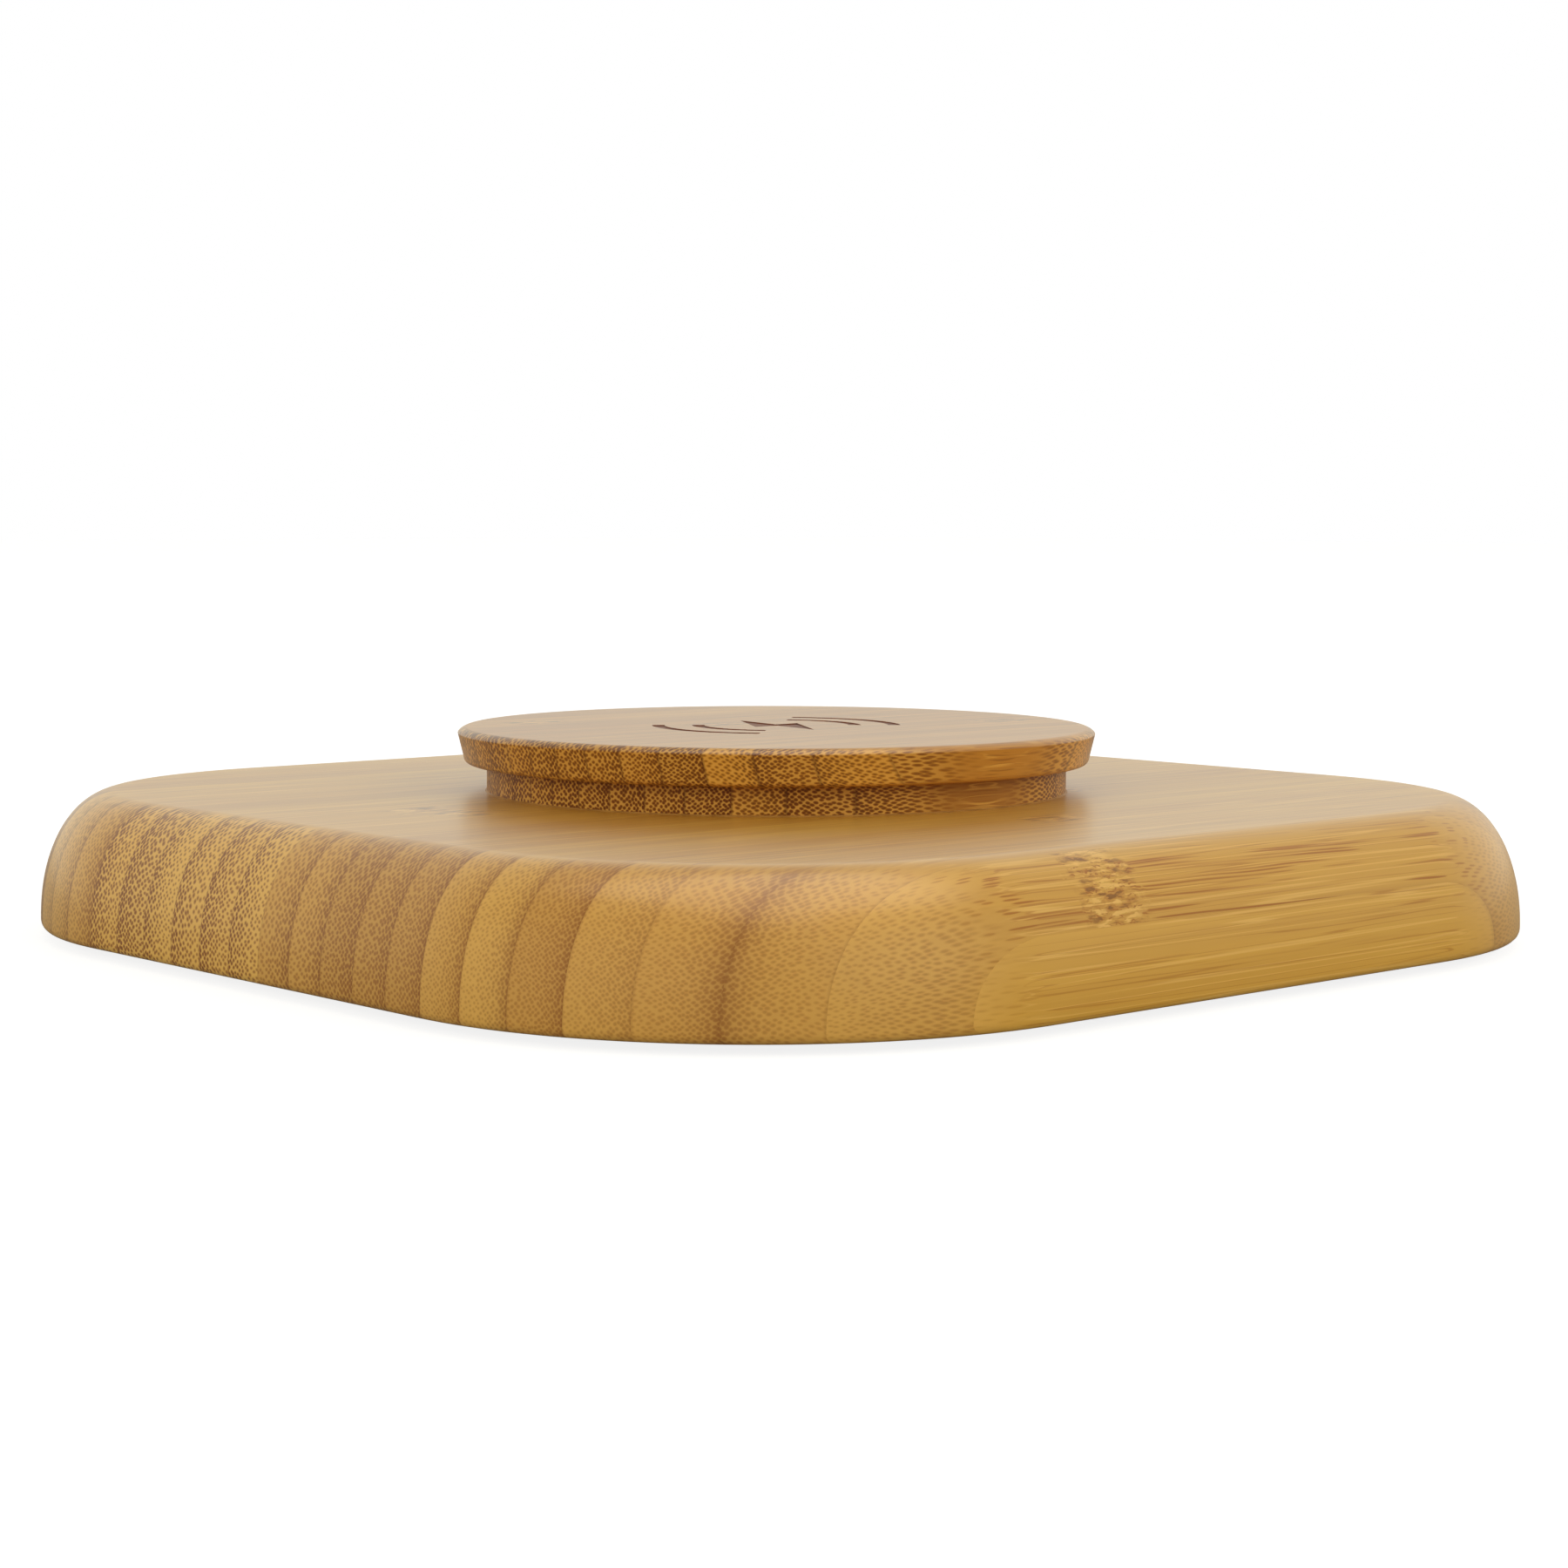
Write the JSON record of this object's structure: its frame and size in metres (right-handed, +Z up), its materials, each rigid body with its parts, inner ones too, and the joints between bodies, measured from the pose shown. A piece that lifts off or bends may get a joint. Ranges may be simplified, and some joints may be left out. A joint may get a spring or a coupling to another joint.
{
  "type": "wireless charging pad",
  "caption": "Low bamboo wireless charging pad: rounded-square base with a raised round charging disc on a narrower neck and a USB-C inlet at the rear.",
  "frame": {"origin": "under the middle of the pad, on the surface its feet stand on", "axes": "+Z up, +X along the bamboo's grain, -Y towards the user, +Y towards the side with the USB-C inlet"},
  "size_m": [0.11, 0.11, 0.018],
  "materials": {
    "bamboo_base": "laminated bamboo, satin clear lacquer",
    "bamboo_disc": "laminated bamboo, carbonised tone, satin clear lacquer",
    "wood_glue": "cured wood glue",
    "adhesive_tape": "thin double-sided tape",
    "copper_strand": "enamelled stranded copper",
    "ferrite": "sintered ferrite, matte",
    "black_plastic": "fine moulded texture",
    "chip_epoxy": "moulded epoxy",
    "circuit_board": "solder mask over glass fibre board",
    "screw_steel": "zinc plated",
    "socket_steel": "nickel plated",
    "capacitor_ceramic": "fired ceramic",
    "clear_acrylic": "clear, polished end",
    "led_resin": "diffusing resin",
    "silicone": "matte, slightly tacky"
  },
  "bodies": {
    "root": {"base_shell": "bamboo_base", "charging_disc": "bamboo_disc", "disc_glue_ring": "wood_glue", "coil_tape": "adhesive_tape", "charging_coil": "copper_strand", "coil_lead_outer": "copper_strand", "coil_lead_inner": "copper_strand", "ferrite_sheet": "ferrite", "thermistor": "chip_epoxy", "thermistor_lead": "black_plastic", "coil_carrier": "black_plastic", "carrier_screw_1": "screw_steel", "carrier_screw_2": "screw_steel", "carrier_screw_3": "screw_steel", "control_board": "circuit_board", "usb_c_shell": "socket_steel", "usb_c_tongue": "black_plastic", "controller_chip": "chip_epoxy", "power_inductor": "ferrite", "mosfet_1": "chip_epoxy", "mosfet_2": "chip_epoxy", "mosfet_3": "chip_epoxy", "mosfet_4": "chip_epoxy", "resonance_capacitor_1": "capacitor_ceramic", "resonance_capacitor_2": "capacitor_ceramic", "resonance_capacitor_3": "capacitor_ceramic", "resonance_capacitor_4": "capacitor_ceramic", "status_led": "led_resin", "light_pipe": "clear_acrylic", "board_screw_1": "screw_steel", "board_screw_2": "screw_steel", "board_screw_3": "screw_steel", "bottom_cover": "black_plastic", "cover_screw_1": "screw_steel", "cover_screw_2": "screw_steel", "cover_screw_3": "screw_steel", "cover_screw_4": "screw_steel", "foot_1": "silicone", "foot_2": "silicone", "foot_3": "silicone", "foot_4": "silicone"}
  },
  "joints": []
}
